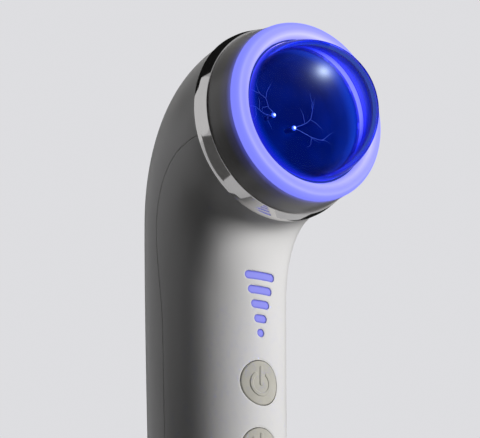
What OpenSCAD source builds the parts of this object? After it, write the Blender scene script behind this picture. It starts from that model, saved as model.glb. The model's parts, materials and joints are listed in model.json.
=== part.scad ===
// Hand-held facial toning device: a bent handle with a round head, a light ring and a glass dome.
// +Z runs up the handle, -Y is the front with the keys, X is the width. The foot stands on z = 0.

/* [Handle] */
// Height of the foot cap
foot_cap_h = 5; // [4:0.5:8]
// Rounding of the foot cap's lower edge
foot_round = 1.6; // [0.8:0.1:2.4]
// Handle axis to the front at the foot
foot_front = 20.2; // [19:0.1:22]
// Handle axis to the back at the foot
foot_back = 18.7; // [18:0.1:21]
// Half width at the foot
foot_half_width = 17.3; // [17:0.1:20]
// Handle axis to the front at the waist
grip_front = 18.8; // [18:0.1:21]
// Half width at the waist
grip_half_width = 18.3; // [17.5:0.1:20]
// Height of the handle's waist, from which the neck, the head and the keys are placed
waist_z = 113; // [108:1:120]
// Handle axis to the back where the neck starts
neck_back = 22; // [20:0.1:24]
// Waist up to where the neck starts on the back
neck_back_rise = 37; // [30:1:41]
// Length of the soft ends of the long handle curves
grip_ease = 40; // [30:1:45]
// Turn of the seam from the front along the grip
seam_side = 87.5; // [84:0.5:92]
// Turn of the seam towards the front by where it reaches the mouth
seam_drop = 12.6; // [0:0.1:20]
// Turn of the seam towards the back where the neck starts
seam_swing = 9; // [0:0.5:12]
// Waist up to where the seam has swung back furthest
seam_swing_rise = 27.5; // [20:0.5:35]
// Height over which that swing fades out
seam_swing_fade = 30.5; // [20:0.5:40]
// Wall of both shells
shell_wall = 2; // [1.6:0.1:2.4]

/* [Neck and mouth] */
// Handle axis to the centre of the mouth, forwards
mouth_reach = 24.3; // [22:0.1:27]
// Waist up to the centre of the mouth
mouth_rise = 51.3; // [49:0.1:55]
// Radius of the mouth
mouth_r = 25.8; // [25:0.1:27]
// Upward tilt of the head
head_tilt = 4; // [0:1:10]
// How far the front runs straight up before it turns under the head
throat_rise = 22; // [18:1:24]
// How far the front runs along the underside of the head
throat_run = 7.5; // [5:0.5:9]
// Slope of the underside where it meets the head
throat_slope = 17; // [5:1:30]
// How far the back runs straight up before it turns over
crown_rise = 24.5; // [18:0.5:30]
// How far the back runs level behind the head
crown_run = 17.5; // [12:0.5:24]

/* [Head] */
// Width of the chrome ring
chrome_w = 4.8; // [3.5:0.1:6]
// How far the chrome ring stands out from the mouth
chrome_proud = 0.6; // [0.3:0.1:1]
// How much the chrome ring's radius shrinks towards its front
chrome_taper = 0.6; // [0:0.1:1]
// Wall of the chrome ring
chrome_wall = 2.6; // [2:0.1:3]
// Width of the flange inside the chrome ring
chrome_flange_w = 3; // [2.6:0.1:3.4]
// Thickness of the chrome ring's flange
chrome_flange = 2.2; // [2:0.1:3]
// Length of the collar
collar_len = 8.9; // [7.5:0.1:10]
// Step in radius from the chrome ring down to the collar
collar_step = 0.4; // [0.1:0.1:0.6]
// How much the collar's radius shrinks towards its front
collar_taper = 0.8; // [0:0.1:1.2]
// Wall of the collar
collar_wall = 1.9; // [1.5:0.1:2.2]
// Width of the light ring
light_w = 4.7; // [4:0.1:5.5]
// Light ring's inner edge to its crest
light_crest_w = 1.9; // [1.4:0.1:2.6]
// How far the light ring bulges forwards
light_bulge = 2.6; // [1.5:0.1:3.5]
// Straight skirt below the light ring's bulge
light_skirt = 0.6; // [0.4:0.1:1]
// Thickness of the plate behind the mouth
plate_t = 2; // [1.6:0.1:2.4]
// Gap round that plate inside the shells
plate_gap = 0.8; // [0.6:0.1:1.2]

/* [Dome] */
// Wall of the glass dome
dome_wall = 1.5; // [1.2:0.1:1.8]
// Straight foot of the glass dome
dome_foot = 1.3; // [1:0.1:1.6]
// Collar's front to the centre of the dome, forwards
dome_lift = 0.9; // [0.6:0.1:1.2]
// Gap between dome and light ring, filled by the seal
seal_gap = 0.6; // [0.5:0.1:0.8]
// How far the seal stands out beside the dome
seal_proud = 0.5; // [0.2:0.1:0.8]
// Step in radius from the dome down to the cup
cup_step = 0.5; // [0.3:0.1:0.8]
// Wall of the electrode cup
cup_wall = 1.2; // [1:0.1:1.6]
// Floor of the electrode cup
cup_floor = 1.2; // [1:0.1:2]
// Thickness of the cup's outer flange
cup_flange = 1; // [0.8:0.1:1.4]
// Collar's front back to that flange
cup_flange_back = 5; // [4:0.1:6]
// Gap between that flange and the light ring's seat in the collar
cup_flange_gap = 0.4; // [0.3:0.1:0.6]
// Distance of each electrode from the dome's axis
pin_offset = 3.6; // [2.5:0.1:6]
// Turn of the electrode pair about the dome's axis
pin_turn = -21; // [-60:1:60]
// Radius of an electrode
pin_r = 0.7; // [0.5:0.1:0.9]
// How far an electrode stands above the cup's floor
pin_rise = 4; // [3:0.1:6]

/* [Keys] */
// Waist down to the power button
key_drop = 18; // [16:0.1:21]
// Distance from the power button down to the mode button
key_pitch = 18.3; // [16.5:0.1:20]
// Radius of a button
key_r = 6; // [5.5:0.05:6.5]
// Gap round a button
key_gap = 0.2; // [0.15:0.01:0.3]
// Travel of a button
key_travel = 0.7; // [0.4:0.05:0.8]
// How much wider the button's flange is than the button
key_flange_lip = 1; // [0.6:0.1:1.2]
// Thickness of the button's flange
key_flange = 1; // [0.8:0.1:1.2]
// Depth of a button from its face to the back of its flange
key_depth = 5.5; // [5.3:0.05:5.8]
// Radius of a switch plunger
plunger_r = 1.75; // [1.2:0.05:2.2]
// Side of a key switch
switch_side = 6; // [5.5:0.1:8]
// Height of a key switch
switch_h = 2.2; // [2:0.1:2.4]
// Floor below the plunger's well in a switch
switch_floor = 0.4; // [0.3:0.1:0.6]

/* [Level windows] */
// Height of the lowest window above the power button
level_start = 13.6; // [12:0.1:15]
// Distance between windows
level_pitch = 3.9; // [3.6:0.05:4.1]
// Height of a window
level_h = 2.1; // [1.6:0.1:2.6]
// Width of the lowest window, a dot
level_dot = 2.1; // [2:0.1:2.6]
// Width of the top window
level_top = 9.6; // [9:0.1:11]
// How far the windows lie below the shell
level_recess = 0.2; // [0.1:0.05:0.4]

/* [Inside] */
// Shell front at the waist to the front face of the main board
board_depth = 9.6; // [9.4:0.1:10]
// Thickness of the circuit boards
board_t = 1.2; // [0.8:0.1:1.6]
// Width of the main board
board_w = 20; // [18:0.5:22]
// Length of the main board above the power button
board_up = 31; // [30.5:0.1:31.4]
// Length of the main board below the mode button
board_down = 14; // [10:1:18]
// Thickness of the inner frame
frame_t = 2; // [1.6:0.1:2.4]
// Width of the inner frame
frame_w = 23; // [21:0.5:24]
// How far the inner frame runs on above its top screw
frame_over = 6; // [4:0.5:8]
// Height of the inner frame's lower end
frame_low_z = 24; // [20:1:26]
// Height of the lower frame screw
low_screw_z = 30; // [29:1:34]
// Radius of a screw boss
boss_r = 2.4; // [2.2:0.1:2.6]
// Gap between a screw boss and the end of the main board
boss_gap = 0.4; // [0.3:0.1:0.8]
// Solid end of a screw boss in front of its hole
boss_floor = 0.6; // [0.4:0.1:1]
// Radius of a frame screw
frame_screw_r = 1.2; // [1:0.05:1.3]
// How far a frame screw reaches into its boss
frame_shank = 6; // [4:0.5:7]
// Radius of a board screw
board_screw_r = 0.8; // [0.6:0.05:1]
// Height of a screw head
screw_head = 1.2; // [0.8:0.1:1.4]
// How far a head screw reaches into the chrome ring's flange
head_screw_grip = 1; // [0.8:0.1:1.2]
// Board corner to the middle of a board screw, each way
board_edge = 2.4; // [2:0.1:3]
// Width and length of a light emitter
led_w = 1.6; // [1.2:0.1:1.8]
// Height of a light emitter
led_h = 0.9; // [0.6:0.1:1.1]
// Gap in front of a light emitter
led_gap = 0.2; // [0.1:0.05:0.4]
// Radius of the battery cell
cell_r = 7; // [6:0.1:7.5]
// Length of the battery cell
cell_len = 50; // [40:1:54]
// Height of the battery cell's lower end
cell_low_z = 42; // [40:1:46]
// Width of a cradle clip along the cell
clip_w = 6; // [4:0.5:8]
// Thickness of a cradle clip
clip_t = 1.2; // [1:0.1:1.6]
// End of the cell to its nearest clip
clip_inset = 4; // [2:0.5:6]
// Gap between the inner frame and the cell
cell_gap = 0.3; // [0.1:0.1:0.6]
// Thickness of a cell contact
tab_t = 0.5; // [0.3:0.1:0.8]
// Width of a cell contact
tab_w = 6; // [4:0.5:8]
// Radius of the high-voltage coil
coil_r = 6.5; // [5:0.1:8]
// Length of the high-voltage coil
coil_len = 14; // [10:0.5:16]
// Radius of the coil's bobbin core
bobbin_r = 3; // [2.8:0.1:3.4]
// Thickness of the bobbin's flanges
bobbin_flange = 1; // [0.8:0.1:1.4]
// How far the winding lies below the edge of the flanges
winding_step = 0.6; // [0.3:0.1:1]

/* [Charge socket] */
// Width of the socket
socket_w = 8.9; // [8.9:0.1:9.2]
// Height of the socket
socket_h = 3.2; // [3.2:0.05:3.4]
// Length of the socket
socket_len = 7.3; // [6.5:0.1:8]
// Sheet of the socket
socket_sheet = 0.3; // [0.2:0.05:0.4]
// Thickness of the socket's back plate
socket_base = 1; // [0.6:0.1:1.2]
// Width of the tongue in the socket
tongue_w = 6.6; // [6:0.1:7]
// Thickness of the tongue in the socket
tongue_t = 0.7; // [0.6:0.05:0.8]
// How much wider the charge board is than the socket, at each side
charge_board_edge = 2; // [1:0.5:3]
// How far the socket lies below the shell
socket_recess = 0.6; // [0.3:0.1:1]
// Radius of the foot cap's plug
plug_r = 12.5; // [11:0.1:13.5]
// Height of the foot cap's plug
plug_h = 4; // [3:0.1:5]

/* [Fits] */
// How far a cutting shape runs past the wall that it cuts
cut_over = 2; // [1.5:0.5:3]
// Gap between pieces that are fixed side by side
fit_gap = 0.1; // [0.05:0.01:0.15]
// Radial clearance of screws and sliding plungers
run_gap = 0.05; // [0.03:0.01:0.08]

/* [Hidden] */
$fn = 64;

// Steps along the handle, along the neck, and round half a section
grip_steps = 14;
neck_steps = 22;
half_steps = 20;
profile_steps = grip_steps + neck_steps;

// Heights that follow the waist
neck_back_z = waist_z + neck_back_rise;
mouth_z = waist_z + mouth_rise;
power_z = waist_z - key_drop;
seam_swing_z = waist_z + seam_swing_rise;

// A cubic curve through a and d, drawn towards b and c
function curve(a, b, c, d, t) =
  pow(1 - t, 3) * a + 3 * pow(1 - t, 2) * t * b + 3 * (1 - t) * t * t * c + pow(t, 3) * d;

// The mouth: its centre, its forward direction and its upward direction, as [y, z]
mouth = [-mouth_reach, mouth_z];
mouth_out = [-cos(head_tilt), sin(head_tilt)];
mouth_up = [sin(head_tilt), cos(head_tilt)];
chin = mouth - mouth_r * mouth_up;
crown = mouth + mouth_r * mouth_up;
throat_way = [cos(throat_slope), -sin(throat_slope)];

// Front and back outlines of the handle as [y, z], by step
function grip_line(foot_y, top, t) =
  curve([foot_y, foot_cap_h], [foot_y, foot_cap_h + grip_ease], top - [0, grip_ease], top, t);
function front_line(k) = k <= grip_steps
  ? grip_line(-foot_front, [-grip_front, waist_z], k / grip_steps)
  : curve([-grip_front, waist_z], [-grip_front, waist_z + throat_rise],
          chin + throat_run * throat_way, chin, (k - grip_steps) / neck_steps);
function back_line(k) = k <= grip_steps
  ? grip_line(foot_back, [neck_back, neck_back_z], k / grip_steps)
  : curve([neck_back, neck_back_z], [neck_back, neck_back_z + crown_rise],
          crown - crown_run * mouth_out, crown, (k - grip_steps) / neck_steps);

// Half width: an easy swell up the handle, then a quick one to the round mouth
function ease(t) = t * t * (3 - 2 * t);
function swell(t) = 1 - pow(1 - t, 2) * (1 + 2 * t);
function half_width(k) = k <= grip_steps
  ? foot_half_width + (grip_half_width - foot_half_width) * ease(k / grip_steps)
  : grip_half_width + (mouth_r - grip_half_width) * swell((k - grip_steps) / neck_steps);

// Turn from the front at which the shells part in section k
function mid_z(k) = (front_line(k)[1] + back_line(k)[1]) / 2;
function seam_fade(k) = min(1, abs(mid_z(k) - seam_swing_z) / seam_swing_fade);
function seam_turn(k) = seam_side + seam_swing * pow(cos(90 * seam_fade(k)), 2)
  - (k <= grip_steps ? 0 : seam_drop * ease((k - grip_steps) / neck_steps));

// A point of section k at turn a from the front, moved inwards by inset
function section_point(k, a, inset) =
  let (f = front_line(k), b = back_line(k), mid = (f + b) / 2, reach = (f - b) / 2)
  let (yz = mid + reach * (1 - inset / norm(reach)) * cos(a))
  [(half_width(k) - inset) * sin(a), yz[0], yz[1]];

// Depth of the front and of the back surface at height z
front_depths = [for (k = [0:profile_steps]) let (p = front_line(k)) [p[1], p[0]]];
back_depths = [for (k = [0:grip_steps]) let (p = back_line(k)) [p[1], p[0]]];
function front_y(z) = lookup(z, front_depths);
function back_y(z) = lookup(z, back_depths);

// Radius of the round front at height z, where the keys and windows follow it
function front_round(z) = 2 * pow(grip_half_width, 2) / (back_y(z) - front_y(z));

// Heights and depths of the key stack
mode_z = power_z - key_pitch;
board_y = board_depth - grip_front;
frame_y = board_y + board_t;
frame_back_y = frame_y + frame_t;
board_top_z = power_z + board_up;
board_low_z = mode_z - board_down;
top_screw_z = board_top_z + boss_r + boss_gap;
frame_top_z = top_screw_z + frame_over;
key_bore_r = key_r + key_gap;
window_count = 5;
function window_z(i) = power_z + level_start + (i - 1) * level_pitch;
function window_w(i) = level_dot + (level_top - level_dot) * (i - 1) / (window_count - 1);

// Radii on the head, each from the one outside it
plate_r = mouth_r - shell_wall - plate_gap;
chrome_back_r = mouth_r + chrome_proud;
chrome_front_r = chrome_back_r - chrome_taper;
chrome_in_r = chrome_front_r - chrome_wall;
chrome_flange_r = chrome_in_r - chrome_flange_w;
collar_back_r = chrome_front_r - collar_step;
light_r = collar_back_r - collar_taper;
light_in_r = light_r - light_w;
light_crest_r = light_in_r + light_crest_w;
dome_r = light_in_r - seal_gap;
cup_r = dome_r - cup_step;
cup_in_r = cup_r - cup_wall;
cup_flange_r = light_r - collar_wall - cup_flange_gap;
ring_board_in_r = cup_r + fit_gap;
head_screw_place_r = chrome_flange_r + chrome_flange_w / 2;
head_screw_count = 3;
ring_led_count = 12;

// Places along the head's axis, counted forwards from the mouth
ring_s = chrome_w + collar_len;
dome_s = ring_s + dome_lift;
cup_rim_s = dome_s - dome_foot;
cup_flange_s = ring_s - cup_flange_back;
ring_board_s = cup_flange_s + cup_flange;

// Everything on the head is drawn along +Z and set on the mouth
module on_head() {
  translate([0, mouth[0], mouth[1]]) rotate([90 - head_tilt, 0, 0]) children();
}

// Draws along +Y from depth y at height z
module towards_back(x, y, z) {
  translate([x, y, z]) rotate([-90, 0, 0]) children();
}

// A ring about Z between two radii
module tube(outer_r, inner_r, h) {
  difference() {
    cylinder(r = outer_r, h = h);
    translate([0, 0, -1]) cylinder(r = inner_r, h = h + 2);
  }
}

// A flat outline with round ends, w wide and h high
module slot_outline(w, h) {
  circle(d = h);
  if (w > h) {
    translate([(w - h) / 2, 0]) circle(d = h);
    translate([-(w - h) / 2, 0]) circle(d = h);
    square([w - h, h], center = true);
  }
}

// Two triangles for the four corners of a patch
function patch(a, b, c, d) = [[a, b, c], [a, c, d]];

// Half of the hollow handle, round the front or the back, closed along the seam and at both ends
module half_shell(is_front) {
  row = half_steps + 1;
  side = row * (profile_steps + 1);
  function at(layer, k, j) = layer * side + k * row + j;
  function from(k) = is_front ? -seam_turn(k) : seam_turn(k);
  function sweep(k) = is_front ? 2 * seam_turn(k) : 360 - 2 * seam_turn(k);
  points = [for (inset = [0, shell_wall], k = [0:profile_steps], j = [0:half_steps])
    section_point(k, from(k) + sweep(k) * j / half_steps, inset)];
  outside = [for (k = [0:profile_steps - 1], j = [0:half_steps - 1])
    each patch(at(0, k, j), at(0, k + 1, j), at(0, k + 1, j + 1), at(0, k, j + 1))];
  inside = [for (k = [0:profile_steps - 1], j = [0:half_steps - 1])
    each patch(at(1, k, j), at(1, k, j + 1), at(1, k + 1, j + 1), at(1, k + 1, j))];
  first_seam = [for (k = [0:profile_steps - 1])
    each patch(at(0, k, 0), at(1, k, 0), at(1, k + 1, 0), at(0, k + 1, 0))];
  last_seam = [for (k = [0:profile_steps - 1])
    each patch(at(0, k, half_steps), at(0, k + 1, half_steps),
               at(1, k + 1, half_steps), at(1, k, half_steps))];
  foot_edge = [for (j = [0:half_steps - 1])
    each patch(at(0, 0, j), at(0, 0, j + 1), at(1, 0, j + 1), at(1, 0, j))];
  mouth_edge = [for (j = [0:half_steps - 1])
    each patch(at(0, profile_steps, j), at(1, profile_steps, j),
               at(1, profile_steps, j + 1), at(0, profile_steps, j + 1))];
  polyhedron(points, concat(outside, inside, first_seam, last_seam, foot_edge, mouth_edge));
}

// Boss on the front shell for one frame screw, ending inside the shell's wall
module frame_boss(z) {
  reach = frame_y + fit_gap - front_y(z) - shell_wall / 2;
  towards_back(0, front_y(z) + shell_wall / 2, z) cylinder(r = boss_r, h = reach - 2 * fit_gap);
}

module front_shell() {
  color("whitesmoke") difference() {
    union() {
      half_shell(true);
      frame_boss(low_screw_z);
      frame_boss(top_screw_z);
    }
    for (z = [power_z, mode_z]) {
      towards_back(0, front_y(z) - cut_over, z)
        cylinder(r = key_bore_r, h = key_depth - key_flange + cut_over);
    }
    for (z = [low_screw_z, top_screw_z]) {
      towards_back(0, front_y(z) + shell_wall + boss_floor, z)
        cylinder(r = frame_screw_r + run_gap, h = board_depth + cut_over);
    }
    for (i = [1:window_count]) {
      towards_back(0, front_y(window_z(i)) - cut_over, window_z(i))
        linear_extrude(shell_wall + 2 * cut_over)
          slot_outline(window_w(i) + 2 * fit_gap, level_h + 2 * fit_gap);
    }
  }
}

socket_z = foot_cap_h + plug_h + board_t + socket_h / 2;
socket_front_y = back_y(socket_z) - socket_recess - socket_len;

module rear_shell() {
  color("whitesmoke") difference() {
    half_shell(false);
    towards_back(0, back_y(socket_z) - shell_wall - cut_over, socket_z)
      linear_extrude(shell_wall + 2 * cut_over) slot_outline(socket_w + 2 * fit_gap, socket_h + 2 * fit_gap);
  }
}

// Cap that closes the foot, with a round lower edge and a plug that carries the charge board
module foot_cap() {
  round_steps = 4;
  overlap = foot_cap_h / 10;
  turn_steps = 2 * half_steps;
  rings = concat(
    [for (i = [0:round_steps]) let (a = 90 * i / round_steps)
      [foot_round * (1 - sin(a)), foot_round * (1 - cos(a))]],
    [[0, foot_cap_h]]);
  function ring_points(inset, z) = [for (j = [0:turn_steps - 1])
    let (p = section_point(0, 360 * j / turn_steps, inset)) [p[0], p[1], z]];
  points = [for (r = rings) each ring_points(r[0], r[1])];
  last = len(rings) - 1;
  walls = [for (i = [0:last - 1], j = [0:turn_steps - 1])
    let (n = (j + 1) % turn_steps, a = i * turn_steps, b = (i + 1) * turn_steps)
    each patch(a + j, b + j, b + n, a + n)];
  bottom = [for (j = [0:turn_steps - 1]) j];
  top = [for (j = [turn_steps - 1:-1:0]) last * turn_steps + j];
  color("gainsboro") union() {
    polyhedron(points, concat(walls, [bottom], [top]));
    translate([0, 0, foot_cap_h - overlap]) cylinder(r = plug_r, h = plug_h + overlap);
  }
}

module chrome_ring() {
  color("silver") on_head() difference() {
    rotate_extrude($fn = 96) polygon([
      [chrome_flange_r, 0], [chrome_back_r, 0],
      [chrome_back_r, chrome_w / 3], [chrome_front_r, chrome_w],
      [chrome_in_r, chrome_w], [chrome_in_r, chrome_flange], [chrome_flange_r, chrome_flange]]);
    head_screw_places() translate([0, 0, -1])
      cylinder(r = board_screw_r + run_gap, h = 1 + head_screw_grip + run_gap);
  }
}

module head_collar() {
  color("lightgray") on_head() translate([0, 0, chrome_w]) rotate_extrude($fn = 96)
    polygon([[collar_back_r - collar_wall, 0], [collar_back_r, 0],
             [light_r, collar_len], [light_r - collar_wall, collar_len]]);
}

// Rounded ring: straight skirt, then a bulge with its crest nearer the dome
module light_ring() {
  bulge_steps = 12;
  outer = light_r - light_crest_r;
  inner = light_crest_r - light_in_r;
  color("lavender") on_head() translate([0, 0, ring_s]) rotate_extrude($fn = 96)
    polygon(concat([[light_in_r, 0], [light_r, 0]],
      [for (i = [0:bulge_steps]) let (a = 180 * i / bulge_steps)
        [light_crest_r + (a < 90 ? outer : inner) * cos(a), light_skirt + light_bulge * sin(a)]]));
}

module dome_seal() {
  color("midnightblue") on_head() translate([0, 0, cup_rim_s])
    tube(light_in_r - run_gap, dome_r + run_gap, dome_foot + seal_proud);
}

// Half ball with a short straight foot, hollow
module glass_dome() {
  in_r = dome_r - dome_wall;
  color("royalblue", 0.5) on_head() translate([0, 0, dome_s]) difference() {
    union() {
      difference() {
        sphere(r = dome_r, $fn = 96);
        translate([-2 * dome_r, -2 * dome_r, -2 * dome_r]) cube([4 * dome_r, 4 * dome_r, 2 * dome_r]);
      }
      translate([0, 0, -dome_foot]) cylinder(r = dome_r, h = dome_foot);
    }
    sphere(r = in_r, $fn = 96);
    translate([0, 0, -dome_foot - 1]) cylinder(r = in_r, h = dome_foot + 1);
  }
}

// Cup under the dome: its floor carries the electrodes and its flange the ring board
module electrode_cup() {
  color("navy") on_head() difference() {
    union() {
      cylinder(r = cup_r, h = cup_rim_s);
      translate([0, 0, cup_flange_s]) cylinder(r = cup_flange_r, h = cup_flange);
    }
    translate([0, 0, cup_floor]) cylinder(r = cup_in_r, h = cup_rim_s);
    pin_places() translate([0, 0, -1]) cylinder(r = pin_r + run_gap, h = cup_floor + 2);
  }
}

module pin_places() {
  for (a = [0, 180]) rotate([0, 0, pin_turn + a]) translate([pin_offset, 0, 0]) children();
}

// Two electrodes with round tips, from the coil's bobbin up into the cup
module electrode_pins() {
  tip_s = cup_floor + pin_rise - pin_r;
  color("white") on_head() pin_places() {
    translate([0, 0, -plate_t]) cylinder(r = pin_r, h = plate_t + tip_s);
    translate([0, 0, tip_s]) sphere(r = pin_r);
  }
}

module ring_board() {
  color("darkgreen") on_head() translate([0, 0, ring_board_s])
    tube(cup_flange_r - fit_gap, ring_board_in_r, board_t);
}

module ring_leds() {
  place_r = (cup_flange_r + ring_board_in_r) / 2;
  color("white") on_head() for (i = [0:ring_led_count - 1])
    rotate([0, 0, 360 * i / ring_led_count])
      translate([place_r - led_w / 2, -led_w / 2, ring_board_s + board_t])
        cube([led_w, led_w, led_h]);
}

module head_screw_places() {
  for (i = [0:head_screw_count - 1])
    rotate([0, 0, 90 + 360 * i / head_screw_count])
      translate([head_screw_place_r, 0, 0]) children();
}

// Bulkhead behind the mouth that the head is screwed to
module head_plate() {
  color("dimgray") on_head() difference() {
    translate([0, 0, -plate_t]) cylinder(r = plate_r, h = plate_t);
    head_screw_places() translate([0, 0, -plate_t - 1])
      cylinder(r = board_screw_r + run_gap, h = plate_t + 2);
    pin_places() translate([0, 0, -plate_t - 1]) cylinder(r = pin_r + run_gap, h = plate_t + 2);
  }
}

module head_screws() {
  color("gray") on_head() head_screw_places() {
    translate([0, 0, -plate_t - screw_head]) cylinder(r = 2 * board_screw_r, h = screw_head);
    translate([0, 0, -plate_t]) cylinder(r = board_screw_r, h = plate_t + head_screw_grip);
  }
}

// Reel of the high-voltage coil, on the back of the head plate
module coil_bobbin() {
  color("ivory") on_head() translate([0, 0, -plate_t - coil_len]) {
    cylinder(r = bobbin_r, h = coil_len);
    cylinder(r = coil_r, h = bobbin_flange);
    translate([0, 0, coil_len - bobbin_flange]) cylinder(r = coil_r, h = bobbin_flange);
  }
}

module coil_winding() {
  color("peru") on_head() translate([0, 0, bobbin_flange + run_gap - plate_t - coil_len])
    tube(coil_r - winding_step, bobbin_r + run_gap, coil_len - 2 * bobbin_flange - 2 * run_gap);
}

cell_y = frame_back_y + cell_r + cell_gap;
cell_clips = [cell_low_z + clip_inset, cell_low_z + cell_len - clip_inset - clip_w];

// Flat carrier with two open clips for the cell
module inner_frame() {
  color("darkgray") difference() {
    union() {
      translate([-frame_w / 2, frame_y, frame_low_z])
        cube([frame_w, frame_t, frame_top_z - frame_low_z]);
      for (z = cell_clips) translate([0, cell_y, z]) difference() {
        tube(cell_r + fit_gap + clip_t, cell_r + fit_gap, clip_w);
        translate([-2 * cell_r, cell_r / 2, -1]) cube([4 * cell_r, 2 * cell_r, clip_w + 2]);
      }
    }
    for (z = [low_screw_z, top_screw_z]) {
      towards_back(0, frame_y - 1, z) cylinder(r = frame_screw_r + run_gap, h = frame_t + 2);
    }
    board_screw_places() towards_back(0, -1, 0)
      cylinder(r = board_screw_r + run_gap, h = board_t + frame_t + 2);
  }
}

module frame_screws() {
  color("gray") for (z = [low_screw_z, top_screw_z]) {
    towards_back(0, frame_y - frame_shank, z)
      cylinder(r = frame_screw_r, h = frame_t + frame_shank);
    towards_back(0, frame_back_y, z) cylinder(r = 1.8 * frame_screw_r, h = screw_head);
  }
}

// Board corners, on the board's front face
module board_screw_places() {
  for (x = [board_edge - board_w / 2, board_w / 2 - board_edge])
    for (z = [board_low_z + board_edge, board_top_z - board_edge])
      translate([x, board_y, z]) children();
}

module main_board() {
  color("darkgreen") difference() {
    translate([-board_w / 2, board_y, board_low_z])
      cube([board_w, board_t, board_top_z - board_low_z]);
    board_screw_places() towards_back(0, -1, 0)
      cylinder(r = board_screw_r + run_gap, h = board_t + 2);
  }
}

module board_screws() {
  color("gray") board_screw_places() {
    towards_back(0, -screw_head, 0) cylinder(r = 2 * board_screw_r, h = screw_head);
    towards_back(0, 0, 0) cylinder(r = board_screw_r, h = board_t + frame_t);
  }
}

// Square switch on the board with a round well for its plunger
module key_switch(z) {
  color("black") difference() {
    translate([-switch_side / 2, board_y - switch_h, z - switch_side / 2])
      cube([switch_side, switch_h, switch_side]);
    towards_back(0, board_y - switch_h - 1, z)
      cylinder(r = plunger_r + run_gap, h = switch_h + 1 - switch_floor);
  }
}

// Plunger from the back of its button to just above the bottom of the switch's well
module key_plunger(z) {
  start = front_y(z) + key_depth;
  end = board_y - switch_floor - key_travel - fit_gap;
  color("dimgray") towards_back(0, start, z) cylinder(r = plunger_r, h = end - start);
}

// Round button whose face follows the shell, with a flange behind the shell's wall
module key_button(z) {
  face = front_y(z);
  stem = key_depth - key_flange;
  color("tan") union() {
    intersection() {
      towards_back(0, face - 1, z) cylinder(r = key_r, h = stem + 1);
      translate([0, face + front_round(z), z - 2 * key_r])
        cylinder(r = front_round(z), h = 4 * key_r, $fn = 96);
    }
    towards_back(0, face + stem, z) cylinder(r = key_r + key_flange_lip, h = key_flange);
  }
}

// Clear bar whose face follows the shell, reaching back to its light emitter
module level_window(i) {
  z = window_z(i);
  face = front_y(z) + level_recess;
  end = board_y - led_h - led_gap;
  color("lightsteelblue") intersection() {
    towards_back(0, face - 1, z) linear_extrude(end - face + 1) slot_outline(window_w(i), level_h);
    translate([0, face + front_round(z), z - level_h])
      cylinder(r = front_round(z), h = 2 * level_h, $fn = 96);
  }
}

module level_leds() {
  color("white") for (i = [1:window_count])
    translate([-led_w / 2, board_y - led_h, window_z(i) - led_w / 2]) cube([led_w, led_h, led_w]);
}

module battery_cell() {
  color("steelblue") translate([0, cell_y, cell_low_z]) cylinder(r = cell_r, h = cell_len);
}

// Sprung tabs at both ends of the cell
module cell_contacts() {
  color("gold") for (z = [cell_low_z - tab_t, cell_low_z + cell_len])
    translate([-tab_w / 2, frame_back_y, z]) cube([tab_w, cell_r + tab_w / 2, tab_t]);
}

module charge_board() {
  width = socket_w + 2 * charge_board_edge;
  color("darkgreen") translate([-width / 2, 0, foot_cap_h + plug_h])
    cube([width, plug_r, board_t]);
}

// Folded metal mouth, open to the back
module charge_socket() {
  color("silver") towards_back(0, socket_front_y, socket_z) difference() {
    linear_extrude(socket_len) slot_outline(socket_w, socket_h);
    translate([0, 0, socket_base])
      linear_extrude(socket_len) slot_outline(socket_w - 2 * socket_sheet, socket_h - 2 * socket_sheet);
  }
}

module socket_tongue() {
  color("black") translate([-tongue_w / 2, socket_front_y + socket_base, socket_z - tongue_t / 2])
    cube([tongue_w, socket_len - 2 * socket_base, tongue_t]);
}

front_shell();
rear_shell();
foot_cap();
chrome_ring();
head_collar();
light_ring();
dome_seal();
glass_dome();
electrode_cup();
electrode_pins();
ring_board();
ring_leds();
head_plate();
head_screws();
coil_bobbin();
coil_winding();
inner_frame();
frame_screws();
main_board();
board_screws();
key_switch(power_z);  // power_switch
key_switch(mode_z);  // mode_switch
key_plunger(power_z);  // power_plunger
key_plunger(mode_z);  // mode_plunger
key_button(power_z);  // power_button
key_button(mode_z);  // mode_button
level_window(1);  // level_window_1
level_window(2);  // level_window_2
level_window(3);  // level_window_3
level_window(4);  // level_window_4
level_window(5);  // level_window_5
level_leds();
battery_cell();
cell_contacts();
charge_board();
charge_socket();
socket_tongue();
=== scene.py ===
import json
import math
import bmesh
import bpy
import numpy as np
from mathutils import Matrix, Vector


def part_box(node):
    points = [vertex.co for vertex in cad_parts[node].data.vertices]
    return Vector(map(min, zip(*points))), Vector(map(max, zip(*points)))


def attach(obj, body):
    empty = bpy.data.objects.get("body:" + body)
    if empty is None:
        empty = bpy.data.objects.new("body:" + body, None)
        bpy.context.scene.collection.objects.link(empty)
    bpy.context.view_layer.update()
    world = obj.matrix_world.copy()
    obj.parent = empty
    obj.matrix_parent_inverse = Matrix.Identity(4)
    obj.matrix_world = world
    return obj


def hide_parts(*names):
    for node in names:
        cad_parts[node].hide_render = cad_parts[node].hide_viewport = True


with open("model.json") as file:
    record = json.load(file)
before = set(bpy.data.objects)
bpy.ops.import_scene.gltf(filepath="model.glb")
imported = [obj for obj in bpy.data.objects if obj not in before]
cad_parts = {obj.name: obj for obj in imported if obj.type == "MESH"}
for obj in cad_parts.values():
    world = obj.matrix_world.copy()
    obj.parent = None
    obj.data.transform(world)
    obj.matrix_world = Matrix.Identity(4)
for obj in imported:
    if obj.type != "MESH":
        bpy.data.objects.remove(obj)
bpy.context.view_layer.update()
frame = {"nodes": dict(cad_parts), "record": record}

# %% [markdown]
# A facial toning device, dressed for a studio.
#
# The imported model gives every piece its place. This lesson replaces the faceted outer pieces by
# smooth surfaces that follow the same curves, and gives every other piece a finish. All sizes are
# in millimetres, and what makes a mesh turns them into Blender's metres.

MM = 0.001

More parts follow.
